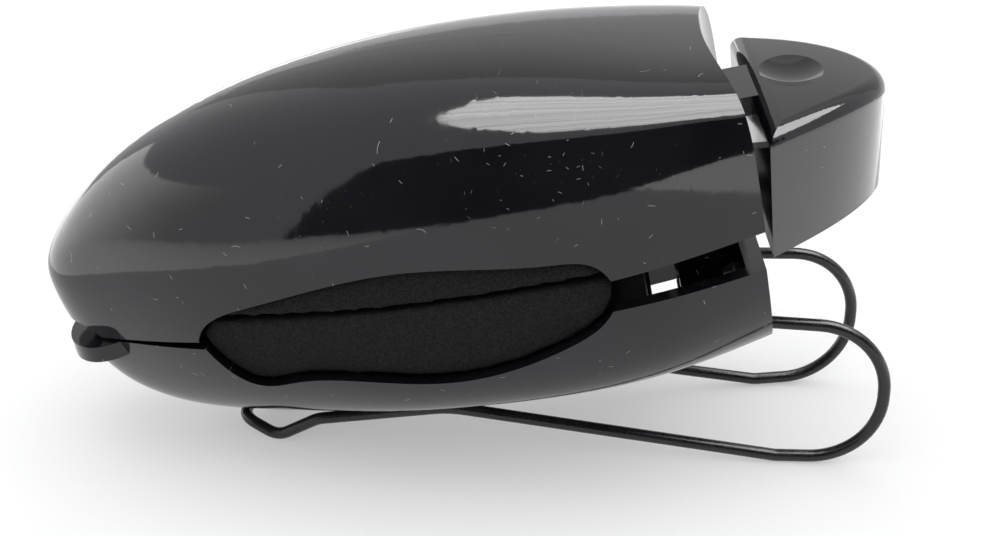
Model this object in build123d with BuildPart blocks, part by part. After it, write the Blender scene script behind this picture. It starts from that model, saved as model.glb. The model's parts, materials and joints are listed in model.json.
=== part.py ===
from build123d import *
import os
from math import cos, radians, sin, tan

# Spectacle clip for a car's sun visor: an egg-shaped clothes-peg with foam jaws that
# grip a folded pair of glasses, standing on the bent wire that slides over the visor.
# All sizes are in millimetres. The row frame has +X towards the push button, +Z up and
# its origin under the middle of the clip, on the surface that the wire rests on.

# ---------------------------------------------------------------- driving dimensions
PITCH = 11.0            # the housing stands nose down by this angle, on its wire
HOUSING_X = 3.55        # housing origin, in the row frame
HOUSING_Z = 19.8
NOSE_X = -44.2          # foremost point of the egg, along the housing
NOSE_Z = 6.0            # its height above the parting plane
TAIL_X = 22.6           # middle of the upper shell's hollow tail end
TAIL_R = 66.0           # radius of that hollow end, in plan
LOWER_TAIL_X = 24.2     # flat tail end of the lower shell
WALL = 1.7              # shell thickness
FIT = 0.05              # radial clearance of pin and screws

# Lines of the egg: place along the housing, half width, top, bottom, how full the
# shoulder and the bilge are (0.55 is an ellipse, 1 a rectangle), height of the widest line.
LINES = (
    (-43.8, 2.0, 8.0, 2.0, 0.55, 0.50, 6.0),
    (-42.0, 4.4, 10.5, -3.6, 0.55, 0.45, 6.0),
    (-37.6, 7.4, 14.5, -8.8, 0.56, 0.44, 6.0),
    (-31.0, 11.0, 18.1, -11.4, 0.58, 0.50, 6.0),
    (-25.5, 13.4, 19.9, -12.1, 0.59, 0.57, 6.0),
    (-20.0, 15.3, 21.1, -12.4, 0.61, 0.63, 6.0),
    (-14.0, 16.9, 21.8, -12.6, 0.64, 0.70, 6.2),
    (-8.0, 18.0, 22.0, -12.6, 0.67, 0.76, 6.5),
    (0.0, 18.7, 21.6, -12.6, 0.72, 0.81, 6.8),
    (8.0, 18.9, 20.6, -12.4, 0.77, 0.84, 7.2),
    (16.0, 18.2, 19.0, -12.1, 0.84, 0.82, 8.0),
    (25.0, 16.0, 17.0, -11.3, 0.89, 0.76, 9.0),
    (31.0, 14.4, 14.8, -10.4, 0.89, 0.76, 9.0),
)

# Jaw pivot, beside the tail
PIVOT_X = 18.6
PIVOT_Z = 1.8
PIN_R = 1.0
PIN_LENGTH = 22.0
BARREL_R = 2.3
BARREL_INNER_Y = 4.6
BARREL_WIDTH = 3.6
EAR_R = 2.0
EAR_INNER_Y = 8.6
EAR_WIDTH = 2.2

# The eye-shaped opening that shows the pads, from its front round to its tail
EYE_FRONT = (-28.3, 1.0)
EYE_UPPER = ((-21.9, 4.8), (-7.2, 7.0), (5.7, 5.6))
EYE_TAIL = (11.0, 1.8)
EYE_LOWER = ((6.0, -2.9), (-5.5, -5.2), (-19.6, -4.1))
PAD_GAP = 0.3           # pad to the edge of the opening
PAD_RECESS = 0.9        # pad below the shell's outer face
MOUTH_Z = 3.1           # where the two pads meet
TAPE = 0.25             # adhesive sheet under each pad

# Upper jaw frame, its screws and the pads' room
FRAME_Z = 8.4
FRAME_THICK = 1.8
FRAME_FRONT = -26.0
FRAME_TAIL = 20.7
UPPER_SCREWS_X = (-17.0, 5.0)
UPPER_SCREW = 5.5       # shank length under the head
BOSS_R = 2.4
PAD_FRONT = -24.5
PAD_TAIL = 8.5
TAPE_HALF = 9.0
SCREW_R = 1.0
SCREW_HEAD_R = 1.9
SCREW_HEAD = 1.2

# Lower tray, wire clamp and floor
TRAY_Z = -8.9
TRAY_THICK = 1.7
TRAY_FRONT = -25.0
TRAY_TAIL = 13.4
TRAY_END_Z = -1.2       # top of the tray's end wall, behind the lower pad
LOWER_SCREWS_X = (-14.0, 5.0)
LOWER_SCREW = 2.7
CLAMP_X = 18.8
CLAMP_Z = -7.2
CLAMP_THICK = 1.6
CLAMP_LENGTH = 3.2
CLAMP_WIDTH = 17.0
CLAMP_SCREW = 2.9
CRADLE_Z = -8.6
CRADLE_Y = 5.6
FLOOR_WINDOWS = ((15.2, 5.6, 2.8, 6.8), (21.6, 4.6, 1.6, 3.0))   # x, y, length, width
FLOOR_WINDOW_Z = -8.8

# Nose lip and the slot above it
LIP_X = -39.2
LIP_A = 4.6
LIP_B = 7.0
LIP_DEPTH = 1.6
NOSE_SLOT_WIDTH = 10.5
NOSE_SLOT_HEIGHT = 3.0
NOSE_SLOT_Z = 0.1
NOSE_SLOT_REACH = 9.0   # how far the slot runs back from the foremost point

# Push button and its neck
BUTTON_FRONT = 25.0
BUTTON_TIP = 37.1
BUTTON_HALF = 14.8
BUTTON_FLANK = (0.37, 0.80)     # first handle of the flank: share of length and half width
BUTTON_BOW = 0.44               # second handle: how blunt the tip is
BUTTON_WALL = 1.7
BUTTON_EDGE = 1.6       # rounding of the rim of the crown
BUTTON_PROFILE = ((24.0, 12.95), (30.0, 12.5), (35.0, 11.8), (41.0, 9.6))
BUTTON_BASE_Z = 0.7     # open lower edge
FRONT_LEAN = 5.9        # the front wall and the tip lean back from the housing's upright
TIP_LEAN = 9.6
BUTTON_HEIGHT = 22.0    # blank height before the crown is cut
CROWN_AXIS_Z = -200.0
DIMPLE_X = 30.7
DIMPLE_TOP = 11.6       # floor of the thumb dimple
DIMPLE_A = 6.0
DIMPLE_B = 9.0
NECK_WIDTH = 9.0
NECK_THICK = 1.8
NECK_TOP = 12.2
NECK_ROOM = 1.1         # free height over the neck in the tail end
NECK_SIDE_ROOM = 0.3
NECK_FRONT = 14.8
NECK_LENGTH = 12.1
BUTTON_SCREW_X = 17.4
BUTTON_SCREW = 1.9

# Return spring on the pin
SPRING_R = 1.75
SPRING_WIRE_R = 0.42
SPRING_PITCH = 1.15
SPRING_TURNS = 5
SPRING_TOP = FRAME_Z - 0.1
SPRING_FOOT = CLAMP_Z + CLAMP_THICK + 0.1

# Visor wire; the hooked ends lie in the housing, the rest is bent on the ground plane
WIRE_R = 0.6
WIRE_Y = 7.5
HOOK_X = 19.0
HOOK_Y = 3.2
HOOK_Z = -7.95
LOOP_X = 40.5
LOOP_Y = 8.7
LOOP_TOP = 14.9
LOOP_BOTTOM = 0.9
KINK_X = 30.6
KINK_Y = 7.75
PINCH_X = -1.5
PINCH_Y = 7.1
PINCH_Z = 5.7
RAMP_X = -14.8
RAMP_Y = 4.7
RAMP_Z = 3.0
FOOT_X = -19.0
FOOT_Y = 4.0
TOE_X = -22.5
TOE_Y = 2.6
TOE_Z = 2.0
HOOK_BEND = 1.3
LOOP_BEND = 6.9
KINK_BEND = 3.0
PINCH_BEND = 8.0
RAMP_BEND = 4.0
FOOT_BEND = 2.4
TOE_BEND = 1.8

BEYOND = 40.0           # reach of cuts that pass right through
MOUTH_GAP = 0.3

HOUSING = Plane(
    origin=(HOUSING_X, 0, HOUSING_Z),
    x_dir=(cos(radians(PITCH)), 0, sin(radians(PITCH))),
    z_dir=(-sin(radians(PITCH)), 0, cos(radians(PITCH))),
)


# ---------------------------------------------------------------- planes of the housing
def level(height, x=0.0, y=0.0):
    """Plane parallel to the parting plane; sketch x runs to the tail, sketch y across."""
    origin = HOUSING.from_local_coords((x, y, height))
    return Plane(origin, x_dir=HOUSING.x_dir, z_dir=HOUSING.z_dir)


def station(x):
    """Cross-section plane; sketch x runs across the clip, sketch y up."""
    origin = HOUSING.from_local_coords((x, 0, 0))
    return Plane(origin, x_dir=HOUSING.y_dir, z_dir=HOUSING.x_dir)


def side(y=0.0):
    """Lengthwise plane whose extrusions grow towards -Y; sketch x to the tail, sketch y up."""
    origin = HOUSING.from_local_coords((0, y, 0))
    return Plane(origin, x_dir=HOUSING.x_dir, z_dir=-HOUSING.y_dir)


# The upper shell's rim climbs away from the parting plane towards the tail.
RIM_SLOPE = 3.2
RIM_START = (-40.0, 0.2)
UPPER_RIM = Plane(
    origin=HOUSING.from_local_coords((RIM_START[0], 0, RIM_START[1])),
    x_dir=HOUSING.y_dir,
    z_dir=HOUSING.from_local_coords((-sin(radians(RIM_SLOPE)), 0, cos(radians(RIM_SLOPE))))
    - HOUSING.origin,
)


HOUSING_UP = Axis(HOUSING.origin, HOUSING.z_dir)
CROWN_AXIS = Axis(HOUSING.from_local_coords((0, 0, CROWN_AXIS_Z)), HOUSING.x_dir)


# ---------------------------------------------------------------- the egg and its lines
def cross_section(line, inset):
    """One closed section of the egg, drawn in by inset all round."""
    x, half_width, top, bottom, shoulder, bilge, equator = line
    wide = half_width - inset
    high = top - inset
    low = bottom + inset
    with BuildSketch(station(x)) as outline:
        with BuildLine():
            Bezier(
                (0, low),
                (wide * bilge, low),
                (wide, equator + (low - equator) * bilge),
                (wide, equator),
            )
            Bezier(
                (wide, equator),
                (wide, equator + (high - equator) * shoulder),
                (wide * shoulder, high),
                (0, high),
            )
            mirror(about=Plane.YZ)
        make_face()
    return outline.sketch


def egg(inset=0.0):
    """The whole egg, from its nose to past its tail, drawn in by inset."""
    nose = Vertex(*HOUSING.from_local_coords((NOSE_X + inset, 0, NOSE_Z)))
    sections = [
        cross_section(line, inset)
        for line in LINES
        if line[1] > 2 * inset and line[0] > NOSE_X + 2 * inset
    ]
    with BuildPart() as shape:
        loft([nose, *sections])
    return shape.part


def eye(gap=0.0):
    """Prism through both flanks with the outline of the pad opening, drawn in by gap."""
    front = (EYE_FRONT[0] + gap, EYE_FRONT[1])
    tail = (EYE_TAIL[0] - gap, EYE_TAIL[1])
    upper = [(x, z - gap) for x, z in EYE_UPPER]
    lower = [(x, z + gap) for x, z in EYE_LOWER]
    with BuildPart() as prism:
        with BuildSketch(side(BEYOND)):
            with BuildLine():
                Spline(front, *upper, tail, tangents=[(0.4, 1), (0.2, -1)])
                Spline(tail, *lower, front, tangents=[(-0.2, -1), (-0.4, 1)])
            make_face()
        extrude(amount=2 * BEYOND)
    return prism.part


def tail_drum(radius):
    """Upright drum behind the clip, which hollows the upper shell's tail end."""
    with BuildPart() as drum:
        with BuildSketch(level(-BEYOND)):
            with Locations((TAIL_X + TAIL_R, 0)):
                Circle(radius)
        extrude(amount=2 * BEYOND)
    return drum.part


def slab(bottom, top, front, tail, half_width=BEYOND):
    """Block between two heights and two places along the housing."""
    with BuildPart() as block:
        with BuildSketch(level(bottom)):
            with Locations(((front + tail) / 2, 0)):
                Rectangle(tail - front, 2 * half_width)
        extrude(amount=top - bottom)
    return block.part


def screw(x, seat, length, way=1):
    """Pan-head screw; its head ends at the seat and its shank goes up, or down for way -1."""
    with BuildPart() as fastener:
        with BuildSketch(level(seat - way * SCREW_HEAD)):
            with Locations((x, 0)):
                Circle(SCREW_HEAD_R)
        extrude(amount=way * SCREW_HEAD)
        with BuildSketch(level(seat)):
            with Locations((x, 0)):
                Circle(SCREW_R)
        extrude(amount=way * length)
        # cross recess
        with BuildSketch(level(seat - way * SCREW_HEAD)):
            with Locations((x, 0)):
                Rectangle(2.2, 0.5)
                Rectangle(0.5, 2.2)
        extrude(amount=way * 0.7, mode=Mode.SUBTRACT)
    return fastener.part


EGG = egg()
SKIN_MIDDLE = egg(WALL / 2)
CORE = egg(WALL)
LINING = egg(WALL + 0.3)
PAD_SKIN = egg(PAD_RECESS)
EYE = eye()
EYE_GAP = eye(PAD_GAP)


# ---------------------------------------------------------------- upper shell
with BuildPart() as upper_hollow:
    add(CORE)
    add(tail_drum(TAIL_R + WALL), mode=Mode.SUBTRACT)

with BuildPart() as upper_bosses:
    with BuildSketch(level(FRAME_Z + FRAME_THICK)):
        with Locations([(x, 0) for x in UPPER_SCREWS_X]):
            Circle(BOSS_R)
    extrude(amount=BEYOND)
    add(SKIN_MIDDLE, mode=Mode.INTERSECT)

with BuildPart() as upper_shell:
    add(EGG)
    split(bisect_by=UPPER_RIM, keep=Keep.TOP)
    add(tail_drum(TAIL_R), mode=Mode.SUBTRACT)
    add(upper_hollow.part, mode=Mode.SUBTRACT)
    add(EYE, mode=Mode.SUBTRACT)
    add(upper_bosses.part)
    # pilot holes for the frame screws
    with BuildSketch(level(FRAME_Z + FRAME_THICK)):
        with Locations([(x, 0) for x in UPPER_SCREWS_X]):
            Circle(SCREW_R + FIT)
    extrude(amount=UPPER_SCREW - FRAME_THICK + SCREW_HEAD + 0.4, mode=Mode.SUBTRACT)
    # window in the tail end for the button's neck
    with BuildSketch(station(TAIL_X - 3)):
        with Locations((0, NECK_TOP + NECK_ROOM)):
            Rectangle(
                NECK_WIDTH + 2 * NECK_SIDE_ROOM,
                NECK_THICK + NECK_ROOM + NECK_SIDE_ROOM,
                align=(Align.CENTER, Align.MAX),
            )
    extrude(amount=6, mode=Mode.SUBTRACT)
    # finger slot over the nose lip
    with BuildSketch(station(NOSE_X - 2)):
        with Locations((0, NOSE_SLOT_Z)):
            SlotOverall(NOSE_SLOT_WIDTH, NOSE_SLOT_HEIGHT)
    extrude(amount=2 + NOSE_SLOT_REACH, mode=Mode.SUBTRACT)
upper_shell.part.label = "upper_shell"


# ---------------------------------------------------------------- upper jaw frame
with BuildPart() as frame_plate:
    add(slab(FRAME_Z, FRAME_Z + FRAME_THICK, FRAME_FRONT, FRAME_TAIL))
    add(LINING, mode=Mode.INTERSECT)

with BuildPart() as jaw_frame:
    add(frame_plate.part)
    # two arms that carry the hinge barrels
    for outer in (BARREL_INNER_Y + BARREL_WIDTH, -BARREL_INNER_Y):
        with BuildSketch(side(outer)):
            with Locations((PIVOT_X, PIVOT_Z)):
                Circle(BARREL_R)
                Rectangle(2 * BARREL_R, FRAME_Z - PIVOT_Z, align=(Align.CENTER, Align.MIN))
        extrude(amount=BARREL_WIDTH)
    # running bore for the pivot pin
    with BuildSketch(side(PIN_LENGTH)):
        with Locations((PIVOT_X, PIVOT_Z)):
            Circle(PIN_R + FIT)
    extrude(amount=2 * PIN_LENGTH, mode=Mode.SUBTRACT)
    # counterbored screw holes
    with BuildSketch(level(FRAME_Z - 1)):
        with Locations([(x, 0) for x in (*UPPER_SCREWS_X, BUTTON_SCREW_X)]):
            Circle(SCREW_R + FIT)
    extrude(amount=FRAME_THICK + 2, mode=Mode.SUBTRACT)
    with BuildSketch(level(FRAME_Z)):
        with Locations([(x, 0) for x in (*UPPER_SCREWS_X, BUTTON_SCREW_X)]):
            Circle(SCREW_HEAD_R + 2 * FIT)
    extrude(amount=SCREW_HEAD, mode=Mode.SUBTRACT)
jaw_frame.part.label = "jaw_frame"

frame_screws = [
    screw(x, FRAME_Z + SCREW_HEAD, UPPER_SCREW) for x in UPPER_SCREWS_X
]
button_screw = screw(BUTTON_SCREW_X, FRAME_Z + SCREW_HEAD, BUTTON_SCREW)


# ---------------------------------------------------------------- push button
def button_block(inset, start=0.0):
    """Crowned D-shaped block of the button, drawn in by inset, from start above its base."""
    half = BUTTON_HALF - inset
    with BuildPart() as block:
        for height in (start, BUTTON_HEIGHT):
            front = BUTTON_FRONT + inset + height * tan(radians(FRONT_LEAN))
            tip = BUTTON_TIP - inset + height * tan(radians(TIP_LEAN))
            with BuildSketch(level(BUTTON_BASE_Z + height)):
                with BuildLine():
                    Line((front, -half), (front, half))
                    Bezier(
                        (front, half),
                        (front + BUTTON_FLANK[0] * (tip - front), BUTTON_FLANK[1] * half),
                        (tip, BUTTON_BOW * half),
                        (tip, 0),
                    )
                    mirror(about=Plane.XZ)
                make_face()
        loft()
        # crown: the side profile turned about a lengthwise axis far below the clip
        with BuildSketch(side()):
            with BuildLine():
                top = Spline(*((x, z - inset) for x, z in BUTTON_PROFILE))
                Polyline(
                    top @ 1,
                    ((top @ 1).X, CROWN_AXIS_Z),
                    ((top @ 0).X, CROWN_AXIS_Z),
                    top @ 0,
                )
            make_face()
        revolve(axis=CROWN_AXIS, mode=Mode.INTERSECT)
    return block.part


with BuildPart() as press_button:
    add(button_block(0))
    crown_face = press_button.faces().sort_by(HOUSING_UP)[-1]
    fillet(crown_face.edges(), BUTTON_EDGE)
    add(button_block(BUTTON_WALL, start=-BUTTON_WALL), mode=Mode.SUBTRACT)
    # thumb dimple
    with BuildSketch(level(DIMPLE_TOP + DIMPLE_A)):
        with Locations((DIMPLE_X, 0)):
            Ellipse(DIMPLE_A, DIMPLE_B)
            Rectangle(DIMPLE_A, 2 * DIMPLE_B, align=(Align.MAX, Align.CENTER), mode=Mode.SUBTRACT)
    revolve(
        axis=Axis(HOUSING.from_local_coords((DIMPLE_X, 0, DIMPLE_TOP + DIMPLE_A)), HOUSING.y_dir),
        mode=Mode.SUBTRACT,
    )
    # neck through the upper shell's tail end, with the boss for its screw
    with BuildSketch(level(NECK_TOP)):
        with Locations((NECK_FRONT, 0)):
            Rectangle(NECK_LENGTH, NECK_WIDTH, align=(Align.MIN, Align.CENTER))
    extrude(amount=-NECK_THICK)
    with BuildSketch(level(FRAME_Z + FRAME_THICK)):
        with Locations((BUTTON_SCREW_X, 0)):
            Circle(BOSS_R)
    extrude(amount=NECK_TOP - FRAME_Z - FRAME_THICK)
    with BuildSketch(level(FRAME_Z + FRAME_THICK)):
        with Locations((BUTTON_SCREW_X, 0)):
            Circle(SCREW_R + FIT)
    extrude(amount=BUTTON_SCREW - FRAME_THICK + SCREW_HEAD + 0.4, mode=Mode.SUBTRACT)
press_button.part.label = "press_button"


# ---------------------------------------------------------------- foam pads and tapes
with BuildPart() as pads:
    add(EYE_GAP)
    add(PAD_SKIN, mode=Mode.INTERSECT)

with BuildPart() as pad_core:
    add(slab(TRAY_Z + TRAY_THICK + TAPE, FRAME_Z - TAPE, PAD_FRONT, PAD_TAIL))
    add(LINING, mode=Mode.INTERSECT)

with BuildPart() as upper_pad:
    add(pads.part)
    add(pad_core.part)
    split(bisect_by=level(MOUTH_Z + MOUTH_GAP / 2), keep=Keep.TOP)
upper_pad.part.label = "upper_pad"

with BuildPart() as lower_pad:
    add(pads.part)
    add(pad_core.part)
    split(bisect_by=level(MOUTH_Z - MOUTH_GAP / 2), keep=Keep.BOTTOM)
lower_pad.part.label = "lower_pad"


def tape(bottom):
    """Adhesive sheet between a pad and what carries it, trimmed to the inside of the egg."""
    with BuildPart() as sheet:
        add(slab(bottom, bottom + TAPE, PAD_FRONT + 1, PAD_TAIL - 1, TAPE_HALF))
        add(egg(WALL + 1), mode=Mode.INTERSECT)
    return sheet.part


upper_pad_tape = tape(FRAME_Z - TAPE)
lower_pad_tape = tape(TRAY_Z + TRAY_THICK)


# ---------------------------------------------------------------- visor wire
def wire_tube(radius):
    """Tube along the bent wire, from one hooked end round the nose bend to the other."""
    far_side = [
        HOUSING.from_local_coords((HOOK_X, HOOK_Y, HOOK_Z)),
        HOUSING.from_local_coords((HOOK_X, WIRE_Y, HOOK_Z)),
        Vector(LOOP_X, LOOP_Y, LOOP_TOP),
        Vector(LOOP_X, LOOP_Y, LOOP_BOTTOM),
        Vector(KINK_X, KINK_Y, WIRE_R),
        Vector(PINCH_X, PINCH_Y, PINCH_Z),
        Vector(RAMP_X, RAMP_Y, RAMP_Z),
        Vector(FOOT_X, FOOT_Y, WIRE_R),
        Vector(TOE_X, TOE_Y, TOE_Z),
    ]
    near_side = [Vector(p.X, -p.Y, p.Z) for p in reversed(far_side)]
    bends = [
        HOOK_BEND, LOOP_BEND, LOOP_BEND, KINK_BEND, PINCH_BEND, RAMP_BEND, FOOT_BEND, TOE_BEND,
    ]
    with BuildPart() as tube:
        with BuildLine() as route:
            FilletPolyline(*far_side, *near_side, radius=[*bends, *reversed(bends)])
        start = route.wires()[0]
        with BuildSketch(Plane(origin=start @ 0, z_dir=start % 0)):
            Circle(radius)
        sweep(path=start)
    return tube.part


visor_wire = wire_tube(WIRE_R)


# ---------------------------------------------------------------- lower shell
with BuildPart() as lower_hollow:
    add(CORE)
    add(slab(-BEYOND, BEYOND, LOWER_TAIL_X - WALL, BEYOND), mode=Mode.SUBTRACT)

with BuildPart() as lower_inside:
    # hinge ears
    for outer in (EAR_INNER_Y + EAR_WIDTH, -EAR_INNER_Y):
        with BuildSketch(side(outer)):
            with Locations((PIVOT_X, PIVOT_Z)):
                Circle(EAR_R)
                Rectangle(2 * EAR_R, BEYOND, align=(Align.CENTER, Align.MAX))
        extrude(amount=EAR_WIDTH)
    # bosses for the tray and the wire clamp
    with BuildSketch(level(TRAY_Z)):
        with Locations([(x, 0) for x in LOWER_SCREWS_X]):
            Circle(BOSS_R)
    extrude(amount=-BEYOND)
    with BuildSketch(level(CLAMP_Z)):
        with Locations((CLAMP_X, 0)):
            Circle(BOSS_R)
    extrude(amount=-BEYOND)
    # cradle under the hooked wire ends
    with BuildSketch(level(CRADLE_Z)):
        with Locations([(CLAMP_X, y) for y in (-CRADLE_Y, CRADLE_Y)]):
            Rectangle(3.0, 5.4)
    extrude(amount=-BEYOND)
    add(SKIN_MIDDLE, mode=Mode.INTERSECT)

with BuildPart() as lower_shell:
    add(EGG)
    split(bisect_by=level(0), keep=Keep.BOTTOM)
    add(slab(-BEYOND, BEYOND, LOWER_TAIL_X, BEYOND), mode=Mode.SUBTRACT)
    add(lower_hollow.part, mode=Mode.SUBTRACT)
    add(EYE, mode=Mode.SUBTRACT)
    # nose lip
    with BuildSketch(level(-LIP_DEPTH)):
        with Locations((LIP_X, 0)):
            Ellipse(LIP_A, LIP_B)
    extrude(amount=LIP_DEPTH)
    add(lower_inside.part)
    # daylight windows in the floor
    with BuildSketch(level(-BEYOND / 2)):
        for x, y, length, width in FLOOR_WINDOWS:
            with Locations((x, y), (x, -y)):
                Rectangle(length, width)
    extrude(amount=BEYOND / 2 + FLOOR_WINDOW_Z, mode=Mode.SUBTRACT)
    # pilot holes
    with BuildSketch(level(TRAY_Z)):
        with Locations([(x, 0) for x in LOWER_SCREWS_X]):
            Circle(SCREW_R + FIT)
    extrude(amount=-LOWER_SCREW, mode=Mode.SUBTRACT)
    with BuildSketch(level(CLAMP_Z)):
        with Locations((CLAMP_X, 0)):
            Circle(SCREW_R + FIT)
    extrude(amount=-CLAMP_SCREW, mode=Mode.SUBTRACT)
    # press bores for the pivot pin
    with BuildSketch(side(PIN_LENGTH)):
        with Locations((PIVOT_X, PIVOT_Z)):
            Circle(PIN_R)
    extrude(amount=2 * PIN_LENGTH, mode=Mode.SUBTRACT)
    add(wire_tube(WIRE_R + FIT), mode=Mode.SUBTRACT)
lower_shell.part.label = "lower_shell"


# ---------------------------------------------------------------- lower tray and wire clamp
with BuildPart() as lower_tray:
    add(slab(TRAY_Z, TRAY_Z + TRAY_THICK, TRAY_FRONT, TRAY_TAIL))
    # end wall behind the pad
    add(slab(TRAY_Z, TRAY_END_Z, PAD_TAIL + 2.6, TRAY_TAIL))
    add(LINING, mode=Mode.INTERSECT)
    with BuildSketch(level(TRAY_Z)):
        with Locations([(x, 0) for x in LOWER_SCREWS_X]):
            Circle(SCREW_R + FIT)
    extrude(amount=TRAY_THICK, mode=Mode.SUBTRACT)
    with BuildSketch(level(TRAY_Z + TRAY_THICK)):
        with Locations([(x, 0) for x in LOWER_SCREWS_X]):
            Circle(SCREW_HEAD_R + 2 * FIT)
    extrude(amount=-SCREW_HEAD, mode=Mode.SUBTRACT)
lower_tray.part.label = "lower_tray"

tray_screws = [
    screw(x, TRAY_Z + TRAY_THICK - SCREW_HEAD, LOWER_SCREW, way=-1) for x in LOWER_SCREWS_X
]

with BuildPart() as wire_clamp:
    with BuildSketch(level(CLAMP_Z)):
        with Locations((CLAMP_X, 0)):
            RectangleRounded(CLAMP_LENGTH, CLAMP_WIDTH, 1.0)
            Circle(SCREW_R + FIT, mode=Mode.SUBTRACT)
    extrude(amount=CLAMP_THICK)
wire_clamp.part.label = "wire_clamp"

clamp_screw = screw(CLAMP_X, CLAMP_Z + CLAMP_THICK, CLAMP_SCREW, way=-1)


# ---------------------------------------------------------------- pivot pin and spring
with BuildPart() as pivot_pin:
    with BuildSketch(side(PIN_LENGTH / 2)):
        with Locations((PIVOT_X, PIVOT_Z)):
            Circle(PIN_R)
    extrude(amount=PIN_LENGTH)
    chamfer(pivot_pin.edges().filter_by(GeomType.CIRCLE), 0.2)
pivot_pin.part.label = "pivot_pin"

spring_length = SPRING_PITCH * SPRING_TURNS
coil_plane = Plane(
    origin=HOUSING.from_local_coords((PIVOT_X, -spring_length / 2, PIVOT_Z)),
    x_dir=HOUSING.x_dir,
    z_dir=HOUSING.y_dir,
)
with BuildLine() as coil:
    Helix(SPRING_PITCH, spring_length, SPRING_R)
turns = coil_plane.from_local_coords(coil.wires()[0])
with BuildPart() as torsion_spring:
    with BuildSketch(Plane(origin=turns @ 0, z_dir=turns % 0)):
        Circle(SPRING_WIRE_R)
    sweep(path=turns, is_frenet=True)
    # straight legs, off both ends of the coil
    for end, ahead in ((turns @ 0, turns % 0 * -1), (turns @ 1, turns % 1)):
        rise = ahead.dot(HOUSING.z_dir)
        target = SPRING_TOP if rise > 0 else SPRING_FOOT
        with BuildSketch(Plane(origin=end, z_dir=ahead)):
            Circle(SPRING_WIRE_R)
        extrude(amount=(target - PIVOT_Z) / rise)
torsion_spring.part.label = "torsion_spring"


# ---------------------------------------------------------------- written parts
def write(solid, name):
    """Name a finished piece and write it."""
    solid.label = name
    export_step(solid, f"parts/{name}.step")


os.makedirs("parts", exist_ok=True)
write(upper_shell.part, "upper_shell")
write(jaw_frame.part, "jaw_frame")
write(Compound(children=frame_screws), "frame_screws")
write(button_screw, "button_screw")
write(press_button.part, "press_button")
write(upper_pad.part, "upper_pad")
write(upper_pad_tape, "upper_pad_tape")
write(lower_shell.part, "lower_shell")
write(lower_tray.part, "lower_tray")
write(Compound(children=tray_screws), "tray_screws")
write(wire_clamp.part, "wire_clamp")
write(clamp_screw, "clamp_screw")
write(lower_pad.part, "lower_pad")
write(lower_pad_tape, "lower_pad_tape")
write(visor_wire, "visor_wire")
write(pivot_pin.part, "pivot_pin")
write(torsion_spring.part, "torsion_spring")
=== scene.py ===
import json
from math import cos, radians, sin

import bpy
from mathutils import Matrix, Vector


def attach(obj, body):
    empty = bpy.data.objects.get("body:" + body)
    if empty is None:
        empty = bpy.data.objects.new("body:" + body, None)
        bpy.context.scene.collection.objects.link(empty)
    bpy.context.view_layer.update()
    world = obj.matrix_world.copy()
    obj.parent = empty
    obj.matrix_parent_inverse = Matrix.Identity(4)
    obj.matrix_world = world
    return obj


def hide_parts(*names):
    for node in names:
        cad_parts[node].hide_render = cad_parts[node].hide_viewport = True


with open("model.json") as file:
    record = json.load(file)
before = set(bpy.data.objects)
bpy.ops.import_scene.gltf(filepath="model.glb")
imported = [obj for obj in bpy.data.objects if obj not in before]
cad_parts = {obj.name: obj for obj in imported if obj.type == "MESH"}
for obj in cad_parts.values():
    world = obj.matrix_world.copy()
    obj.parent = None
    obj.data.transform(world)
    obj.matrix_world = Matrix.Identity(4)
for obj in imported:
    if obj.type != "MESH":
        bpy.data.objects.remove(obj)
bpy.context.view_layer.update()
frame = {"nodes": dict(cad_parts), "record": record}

# Every length is in metres. Noise and cell scales are per metre.
MM = 0.001

# lint: cells per metre, longest fibre, width of a fibre, share of the cells that hold one
LONG_LINT = (330, 0.55 * MM, 0.032 * MM, 0.07)
SHORT_LINT = (620, 0.26 * MM, 0.028 * MM, 0.16)
TOP_LINT = (300, 0.5 * MM, 0.03 * MM, 0.05)
SWARM_LINT = (900, 0.22 * MM, 0.025 * MM, 0.28)
SWARM_PLACE = (0.0065, 0.0345, 0.0)     # middle of the swarm: along the clip, height
SWARM_CORE = 0.003
SWARM_EDGE = 0.008
LINT_CURL = 900             # curvature of the most curled fibres, either way
SHORTEST_LINT = 0.25        # shortest fibre, as a share of the longest
RESHUFFLE = 37.0            # turns one random value into another
FULL_TURN = 6.28
UPWARD = (0.72, 0.74)       # upright part of the normal where the flank gives way to the top
FLECKS = 1500.0
FLECK_SHARE = 0.2
DUST_COVER = 0.55           # how opaque the dust is
DUST_COLOUR = (0.42, 0.41, 0.38, 1)

# painted shade: faces in the gap between the housing and the button get less specular, where shade
# falls
GAP_TURN = (0.80, 0.88)     # lengthwise part of the normal
GAP_FRONT = (0.018, 0.020)
GAP_SIDE = (-0.006, 0.002)
GAP_SHADE_SPECULAR = 0.05
USUAL_SPECULAR = 0.5

FOAM_CELLS = 4200.0
FOAM_PORES = 9000.0
FOAM_SPECULAR = 0.12
FOAM_VOXEL = 0.45 * MM
FOAM_LUMPS = 1.6 * MM
FOAM_UNEVEN = 0.16 * MM

# studio
FLOOR = 2.5                 # half width of the floor, and how far back it runs
FLOOR_FRONT = -0.30
FLOOR_GLOW = 0.33           # stands for light that other tables and walls throw on the paper
SKY = 0.95
WINDOW_Z = 0.6
WINDOW_TAIL = 0.70
WINDOW_FRONT = -0.28
WINDOW_DEPTH = 0.50
WINDOW_LEFT = -0.12
WINDOW_BULGE = 0.10         # how far its left end bulges out
WINDOW_END = 12             # steps along that bulge
WINDOW_LIGHT = 12.0
TABLE_NEAR = 0.085          # where the bright table begins, left and right of the clip
TABLE_FAR = 0.9
LAMP_SIZE = (1.2, 1.0)
LAMP_PLACE = (0.1, -0.25, 0.75)
LAMP_WATTS = 2.0

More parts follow.
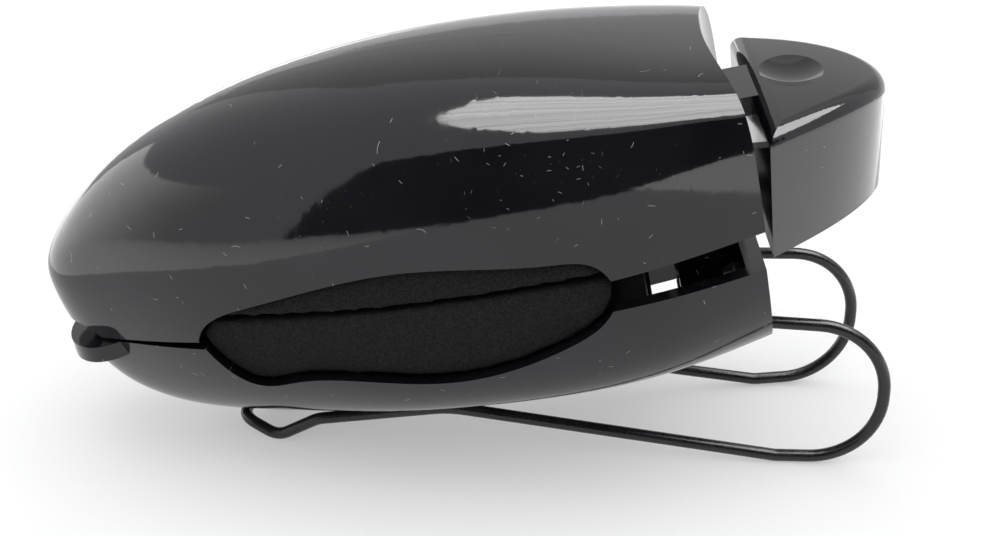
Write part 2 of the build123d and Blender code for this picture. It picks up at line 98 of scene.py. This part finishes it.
# camera
ELEVATION = radians(25.0)
AZIMUTH = radians(0.9)
ROLL = radians(-0.5)
DISTANCE = 0.160
TARGET = Vector((0.00353, 0.0, 0.0174))
FOCAL_MM = 58.2
SENSOR_MM = 36.0


# ---------------------------------------------------------------- material graphs
class Graph:
    """Short hand for building one material's nodes."""

    def __init__(self, name, **shader):
        self.mat = bpy.data.materials.new(name)
        self.mat.use_nodes = True
        self.tree = self.mat.node_tree
        self.bsdf = self.tree.nodes["Principled BSDF"]
        for socket, value in shader.items():
            self.bsdf.inputs[socket.replace("_", " ")].default_value = value
        self.coord = self.node("ShaderNodeTexCoord").outputs["Object"]
        self.normal = self.tree.nodes[-1].outputs["Normal"]

    def node(self, kind, inputs=None, **props):
        made = self.tree.nodes.new(kind)
        for key, value in props.items():
            setattr(made, key, value)
        for key, value in (inputs or {}).items():
            self.feed(made.inputs[key], value)
        return made

    def feed(self, socket, value):
        if isinstance(value, bpy.types.NodeSocket):
            self.tree.links.new(value, socket)
        else:
            socket.default_value = value

    def math(self, operation, *values, clamp=False):
        inputs = dict(enumerate(values))
        return self.node("ShaderNodeMath", inputs, operation=operation, use_clamp=clamp).outputs[0]

    def vector(self, operation, *values, out=0):
        inputs = dict(enumerate(values))
        return self.node("ShaderNodeVectorMath", inputs, operation=operation).outputs[out]

    def scaled(self, x, y, z, source=None):
        return self.vector("MULTIPLY", source or self.coord, (x, y, z))

    def noise(self, scale, detail=3.0, rough=0.5, source=None):
        return self.node(
            "ShaderNodeTexNoise",
            {"Vector": source or self.coord, "Scale": scale, "Detail": detail, "Roughness": rough},
        ).outputs["Fac"]

    def cells(self, scale):
        return self.node(
            "ShaderNodeTexVoronoi", {"Vector": self.coord, "Scale": scale}, feature="F1"
        ).outputs["Distance"]

    def ramp(self, value, low, high, out_low=0.0, out_high=1.0):
        limits = {"From Min": low, "From Max": high, "To Min": out_low, "To Max": out_high}
        return self.node("ShaderNodeMapRange", {"Value": value, **limits}).outputs["Result"]

    def mix(self, factor, a, b):
        made = self.node("ShaderNodeMix", data_type="RGBA")
        self.feed(made.inputs[0], factor)
        self.feed(made.inputs[6], a)
        self.feed(made.inputs[7], b)
        return made.outputs[2]

    def bump(self, height, distance, strength=1.0):
        made = self.node(
            "ShaderNodeBump", {"Height": height, "Distance": distance, "Strength": strength}
        )
        self.feed(self.bsdf.inputs["Normal"], made.outputs["Normal"])

    def set(self, socket, value):
        self.feed(self.bsdf.inputs[socket], value)


def grey(level, tint=0.0):
    return (level, level, level * (1 + tint), 1.0)


def fibres(g, flat, lint, amount=1.0):
    """Mask of short curved fibres scattered over the plane that the vector flat lies in."""
    scale, length, width, share = lint
    cells = g.node(
        "ShaderNodeTexVoronoi",
        {"Vector": flat, "Scale": scale, "Randomness": 1.0},
        voronoi_dimensions="2D",
        feature="F1",
    )
    random = g.node("ShaderNodeSeparateColor", {"Color": cells.outputs["Color"]})
    offset = g.vector("SUBTRACT", flat, cells.outputs["Position"])
    turn = g.node(
        "ShaderNodeVectorRotate",
        {"Vector": offset, "Angle": g.math("MULTIPLY", random.outputs[0], FULL_TURN)},
        rotation_type="Z_AXIS",
    )
    spot = g.node("ShaderNodeSeparateXYZ", {"Vector": turn.outputs["Vector"]})
    along = spot.outputs["X"]
    curl = g.ramp(random.outputs[2], 0, 1, -LINT_CURL, LINT_CURL)
    bend = g.math("MULTIPLY", g.math("MULTIPLY", along, along), curl)
    beside = g.math("ABSOLUTE", g.math("SUBTRACT", spot.outputs["Y"], bend))
    reach = g.ramp(random.outputs[1], 0, 1, length * SHORTEST_LINT, length)
    thin = g.ramp(beside, width * 0.5, width, 1, 0)
    short = g.ramp(g.math("SUBTRACT", g.math("ABSOLUTE", along), reach), -width, width, 1, 0)
    draw = g.math("FRACT", g.math("MULTIPLY", random.outputs[0], RESHUFFLE))
    picked = g.math("LESS_THAN", draw, share * amount)
    return g.math("MULTIPLY", g.math("MULTIPLY", thin, short), picked)


def dust(g, amount):
    """Mask of fine dust: flecks all over, and lint fibres on the flanks and on the top."""
    place = g.node("ShaderNodeSeparateXYZ", {"Vector": g.coord}).outputs
    side = g.node("ShaderNodeCombineXYZ", {"X": place["X"], "Y": place["Z"]}).outputs[0]
    top = g.node("ShaderNodeCombineXYZ", {"X": place["X"], "Y": place["Y"]}).outputs[0]
    facing = g.node("ShaderNodeSeparateXYZ", {"Vector": g.normal}).outputs["Z"]
    upward = g.ramp(facing, *UPWARD)
    lint_side = g.math(
        "MAXIMUM", fibres(g, side, LONG_LINT, amount), fibres(g, side, SHORT_LINT, amount)
    )
    lint_top = fibres(g, top, TOP_LINT, amount)
    lint = g.node("ShaderNodeMix", {0: upward, 2: lint_side, 3: lint_top}).outputs[0]
    # more lint has gathered on the middle of the flank, in a loose swarm
    away = g.vector("DISTANCE", side, SWARM_PLACE, out=1)
    swarm = g.ramp(away, SWARM_CORE, SWARM_EDGE, 1, 0)
    gathered = g.math("MULTIPLY", fibres(g, side, SWARM_LINT), swarm)
    lint = g.math("MAXIMUM", lint, gathered)
    flecks = g.ramp(g.cells(FLECKS), 0.06, 0.11, 1, 0)
    patches = g.ramp(g.noise(120, 2), 0.5, 0.66)
    flecks = g.math("MULTIPLY", g.math("MULTIPLY", flecks, patches), FLECK_SHARE * amount)
    return g.math("MULTIPLY", g.math("MAXIMUM", lint, flecks), DUST_COVER)


def gloss_plastic(name, amount, rough=0.055, gap_side=1):
    """Moulded black plastic with a polished face, faint waviness, scuffs, dust and lint.

    gap_side is 1 if the piece's faces towards +X look into the gap, and -1 if those towards -X do.
    """
    g = Graph(name, IOR=1.5)
    specks = dust(g, amount)
    scuff = g.ramp(g.noise(900, 6, 0.7, g.scaled(1, 1, 7)), 0.55, 0.8)
    cloud = g.ramp(g.noise(60, 4), 0.35, 0.7)
    base = g.mix(cloud, grey(0.0045, 0.3), grey(0.0085, 0.35))
    g.set("Base Color", g.mix(specks, base, DUST_COLOUR))
    polish = g.ramp(cloud, 0, 1, rough, rough + 0.03)
    worn = g.math("ADD", g.math("MULTIPLY", scuff, 0.05), polish)
    g.set("Roughness", g.math("ADD", worn, g.math("MULTIPLY", specks, 0.6), clamp=True))
    # painted shade: faces in the gap between housing and button get less specular, standing in for
    # the shade in the gap
    normal_x = g.node("ShaderNodeSeparateXYZ", {"Vector": g.normal}).outputs["X"]
    place = g.node("ShaderNodeSeparateXYZ", {"Vector": g.coord}).outputs
    turned = g.ramp(g.math("MULTIPLY", normal_x, gap_side), *GAP_TURN)
    near_tail = g.ramp(place["X"], *GAP_FRONT)
    shaded_side = g.ramp(place["Y"], *GAP_SIDE, 1, 0)
    gap_shade = g.math("MULTIPLY", g.math("MULTIPLY", turned, near_tail), shaded_side)
    g.set("Specular IOR Level", g.ramp(gap_shade, 0, 1, USUAL_SPECULAR, GAP_SHADE_SPECULAR))
    ripple = g.math("ADD", g.noise(150, 2), g.math("MULTIPLY", specks, 0.4))
    g.bump(ripple, 0.02 * MM, 0.25)
    return g.mat


def matte_plastic():
    """Black moulded plastic of the inner parts, with a spark-eroded grain."""
    g = Graph("matte_plastic")
    grain = g.noise(2600, 5, 0.65)
    g.set("Base Color", g.mix(g.ramp(g.noise(90, 3), 0.3, 0.7), grey(0.010), grey(0.020)))
    g.set("Roughness", g.ramp(grain, 0.3, 0.7, 0.42, 0.62))
    g.bump(grain, 0.05 * MM, 0.6)
    return g.mat


def foam():
    """Closed-cell black foam with pits of two sizes."""
    g = Graph("foam")
    pits = g.math("ADD", g.cells(FOAM_CELLS), g.math("MULTIPLY", g.cells(FOAM_PORES), 0.5))
    tone = g.ramp(pits, 0.15, 1.0)
    # painted shade: the base colour is darker in the pits, where the bump sinks in
    g.set("Base Color", g.mix(tone, grey(0.003), grey(0.013)))
    g.set("Roughness", g.ramp(tone, 0, 1, 0.95, 0.75))
    g.bump(pits, 0.12 * MM, 0.8)
    g.set("Specular IOR Level", FOAM_SPECULAR)
    return g.mat


def wire_coat():
    """Black dip coating on the wire, satin and a little uneven."""
    g = Graph("wire_coat")
    cloud = g.ramp(g.noise(260, 4), 0.4, 0.7)
    g.set("Base Color", g.mix(cloud, grey(0.006, 0.2), grey(0.014, 0.25)))
    g.set("Roughness", g.ramp(g.noise(1500, 3), 0.3, 0.7, 0.22, 0.36))
    g.bump(g.noise(1900, 4), 0.02 * MM, 0.6)
    return g.mat


def steel(name, level, rough):
    """Bright steel with fine turning marks and a little tarnish."""
    g = Graph(name, Metallic=1.0)
    marks = g.noise(6000, 2, 0.5, g.scaled(1, 0.1, 1))
    tarnish = g.ramp(g.noise(500, 4), 0.4, 0.75)
    g.set("Base Color", g.mix(tarnish, grey(level), grey(level * 0.6)))
    g.set("Roughness", g.ramp(marks, 0.3, 0.7, rough - 0.06, rough + 0.1))
    g.bump(marks, 0.01 * MM, 0.5)
    return g.mat


def paper():
    """Pale adhesive sheet with paper fibres."""
    g = Graph("adhesive_paper")
    strands = g.noise(1500, 5, 0.7, g.scaled(1, 0.3, 1))
    tone = g.ramp(strands, 0.35, 0.65)
    g.set("Base Color", g.mix(tone, (0.62, 0.6, 0.53, 1), (0.8, 0.78, 0.7, 1)))
    g.set("Roughness", g.ramp(strands, 0.3, 0.7, 0.7, 0.9))
    g.bump(strands, 0.02 * MM, 0.6)
    return g.mat


looks = {
    "upper_shell": gloss_plastic("upper_gloss", 1.0),
    "lower_shell": gloss_plastic("lower_gloss", 1.1, 0.09),
    "press_button": gloss_plastic("button_gloss", 0.7, gap_side=-1),
    "black_coated_wire": wire_coat(),
    "matte_black_plastic": matte_plastic(),
    "screw_steel": steel("screw_finish", 0.6, 0.32),
    "pin_steel": steel("pin_finish", 0.62, 0.22),
    "spring_steel": steel("spring_finish", 0.45, 0.3),
    "adhesive_sheet": paper(),
    "black_foam": foam(),
}
slots = {row["node"]: row["material_slot"] for row in frame["record"]["subparts"]}
for node, obj in frame["nodes"].items():
    look = looks.get(node) or looks[slots[node]]
    obj.data.materials.clear()
    obj.data.materials.append(look)


# ---------------------------------------------------------------- foam pads
def foam_pad(node, body):
    """Foam block cut to the CAD pad's room, with soft edges and an uneven skin."""
    mesh = frame["nodes"][node].data.copy()
    mesh.name = node + "_foam"
    pad = bpy.data.objects.new(node + "_foam", mesh)
    bpy.context.collection.objects.link(pad)
    remesh = pad.modifiers.new("cells", "REMESH")
    remesh.mode = "VOXEL"
    remesh.voxel_size = FOAM_VOXEL
    soften = pad.modifiers.new("soften", "SMOOTH")
    soften.factor = 0.5
    soften.iterations = 5
    skin = bpy.data.textures.new(node + "_skin", "CLOUDS")
    skin.noise_scale = FOAM_LUMPS
    uneven = pad.modifiers.new("uneven", "DISPLACE")
    uneven.texture = skin
    uneven.strength = FOAM_UNEVEN
    uneven.mid_level = 0.9
    bpy.context.view_layer.update()
    shaped = bpy.data.meshes.new_from_object(
        pad.evaluated_get(bpy.context.evaluated_depsgraph_get())
    )
    pad.modifiers.clear()
    pad.data = shaped
    for face in shaped.polygons:
        face.use_smooth = True
    shaped.materials.clear()
    shaped.materials.append(looks["black_foam"])
    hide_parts(node)
    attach(pad, body)


foam_pad("upper_pad", "upper_jaw")
foam_pad("lower_pad", "base")


# ---------------------------------------------------------------- studio
def plane(name, corners, material):
    mesh = bpy.data.meshes.new(name)
    mesh.from_pydata(corners, [], [range(len(corners))])
    mesh.materials.append(material)
    obj = bpy.data.objects.new(name, mesh)
    bpy.context.collection.objects.link(obj)
    return obj


def card(name, corners, material):
    """Plane that only gloss can see."""
    obj = plane(name, corners, material)
    obj.visible_shadow = False
    obj.visible_diffuse = False
    obj.visible_camera = False


def glow(name, strength, streaks=False, fade=False):
    """Plain light of that strength, or one with blurred streaks, or one that fades to the sky's."""
    mat = bpy.data.materials.new(name)
    mat.use_nodes = True
    tree = mat.node_tree
    tree.nodes.clear()
    light = tree.nodes.new("ShaderNodeEmission")
    light.inputs["Strength"].default_value = strength
    if streaks or fade:
        place = tree.nodes.new("ShaderNodeTexCoord").outputs["Object"]
        span = tree.nodes.new("ShaderNodeMapRange")
        span.inputs["To Max"].default_value = strength
        tree.links.new(span.outputs["Result"], light.inputs["Strength"])
    if streaks:
        stretch = tree.nodes.new("ShaderNodeVectorMath")
        stretch.operation = "MULTIPLY"
        stretch.inputs[1].default_value = (1.2, 30.0, 1.0)
        grain = tree.nodes.new("ShaderNodeTexNoise")
        grain.inputs["Scale"].default_value = 1.5
        grain.inputs["Detail"].default_value = 4.0
        span.inputs["From Min"].default_value = 0.35
        span.inputs["From Max"].default_value = 0.65
        span.inputs["To Min"].default_value = 0.6 * strength
        tree.links.new(place, stretch.inputs[0])
        tree.links.new(stretch.outputs[0], grain.inputs["Vector"])
        tree.links.new(grain.outputs["Fac"], span.inputs["Value"])
    if fade:
        parts = tree.nodes.new("ShaderNodeSeparateXYZ")
        span.interpolation_type = "SMOOTHSTEP"
        span.inputs["From Min"].default_value = -0.45
        span.inputs["From Max"].default_value = 0.25
        span.inputs["To Min"].default_value = SKY
        tree.links.new(place, parts.inputs[0])
        tree.links.new(parts.outputs["Y"], span.inputs["Value"])
    out = tree.nodes.new("ShaderNodeOutputMaterial")
    tree.links.new(light.outputs[0], out.inputs["Surface"])
    return mat


def table(left, right, front, back):
    """Corners of a level card just above the floor."""
    return [(left, front, MM), (right, front, MM), (right, back, MM), (left, back, MM)]


paper_floor = Graph("floor_paper", Emission_Color=(1, 1, 1, 1), Emission_Strength=FLOOR_GLOW)
paper_floor.set(
    "Base Color", paper_floor.mix(paper_floor.noise(40, 3), grey(0.60), grey(0.62))
)
paper_floor.set("Roughness", paper_floor.ramp(paper_floor.noise(200), 0, 1, 0.8, 0.9))
plane(
    "floor",
    [(-FLOOR, FLOOR_FRONT, 0), (FLOOR, FLOOR_FRONT, 0), (FLOOR, FLOOR, 0), (-FLOOR, FLOOR, 0)],
    paper_floor.mat,
)

# overhead window with a rounded left end, the pale band in the gloss
window_edge = [
    (
        WINDOW_LEFT - WINDOW_BULGE * sin(radians(180 * k / WINDOW_END)),
        WINDOW_FRONT + WINDOW_DEPTH * k / WINDOW_END,
        WINDOW_Z,
    )
    for k in range(WINDOW_END + 1)
]
card(
    "window_card",
    [(WINDOW_TAIL, 0.22, WINDOW_Z), *reversed(window_edge), (WINDOW_TAIL, -0.36, WINDOW_Z)],
    glow("window_light", WINDOW_LIGHT, streaks=True),
)
# dark side of the room, behind the camera, the dark band in the gloss
card(
    "dark_card",
    [(-0.34, -0.36, -0.05), (0.8, -0.36, -0.05), (0.8, -0.30, 0.46), (-0.30, -0.30, 0.42)],
    glow("dark_room", 0.004),
)
# bright table left of the nose and right of the button, and a dimmer wall behind
bright = glow("bright_table", 2.4)
fading = glow("fading_table", 2.6, fade=True)
card("left_table", table(-TABLE_FAR, -TABLE_NEAR, -0.45, TABLE_FAR), fading)
card(
    "left_wall",
    [(-TABLE_FAR, y, z) for y, z in ((-0.45, 0), (TABLE_FAR, 0), (TABLE_FAR, 0.5), (-0.45, 0.5))],
    fading,
)
card("right_table", table(TABLE_NEAR, TABLE_FAR, -0.5, 0.1), bright)
card(
    "back_wall",
    [(x, TABLE_FAR, z) for x, z in ((-0.5, 0.2), (1.2, 0.2), (1.2, 1.0), (-0.5, 1.0))],
    glow("dim_wall", 0.62),
)

world = bpy.data.worlds.new("studio")
world.use_nodes = True
world.node_tree.nodes["Background"].inputs["Color"].default_value = (0.98, 0.985, 1.0, 1)
world.node_tree.nodes["Background"].inputs["Strength"].default_value = SKY
bpy.context.scene.world = world

lamp_data = bpy.data.lights.new("soft_box", "AREA")
lamp_data.shape = "RECTANGLE"
lamp_data.size, lamp_data.size_y = LAMP_SIZE
lamp_data.energy = LAMP_WATTS
lamp = bpy.data.objects.new("soft_box", lamp_data)
lamp.location = LAMP_PLACE
lamp.visible_glossy = False
bpy.context.collection.objects.link(lamp)


# ---------------------------------------------------------------- camera
ahead = Vector((-sin(AZIMUTH) * cos(ELEVATION), cos(AZIMUTH) * cos(ELEVATION), -sin(ELEVATION)))
right = Vector((cos(AZIMUTH), sin(AZIMUTH), 0.0))
above = right.cross(ahead)
rolled_right = cos(ROLL) * right + sin(ROLL) * above
rolled_up = cos(ROLL) * above - sin(ROLL) * right

camera_data = bpy.data.cameras.new("photo_camera")
camera_data.lens = FOCAL_MM
camera_data.sensor_width = SENSOR_MM
camera_data.clip_start = 0.005
camera = bpy.data.objects.new("photo_camera", camera_data)
bpy.context.collection.objects.link(camera)
turn = Matrix((rolled_right, rolled_up, -ahead)).transposed().to_4x4()
camera.matrix_world = Matrix.Translation(TARGET - ahead * DISTANCE) @ turn
bpy.context.scene.camera = camera
bpy.context.scene.view_settings.view_transform = "Standard"
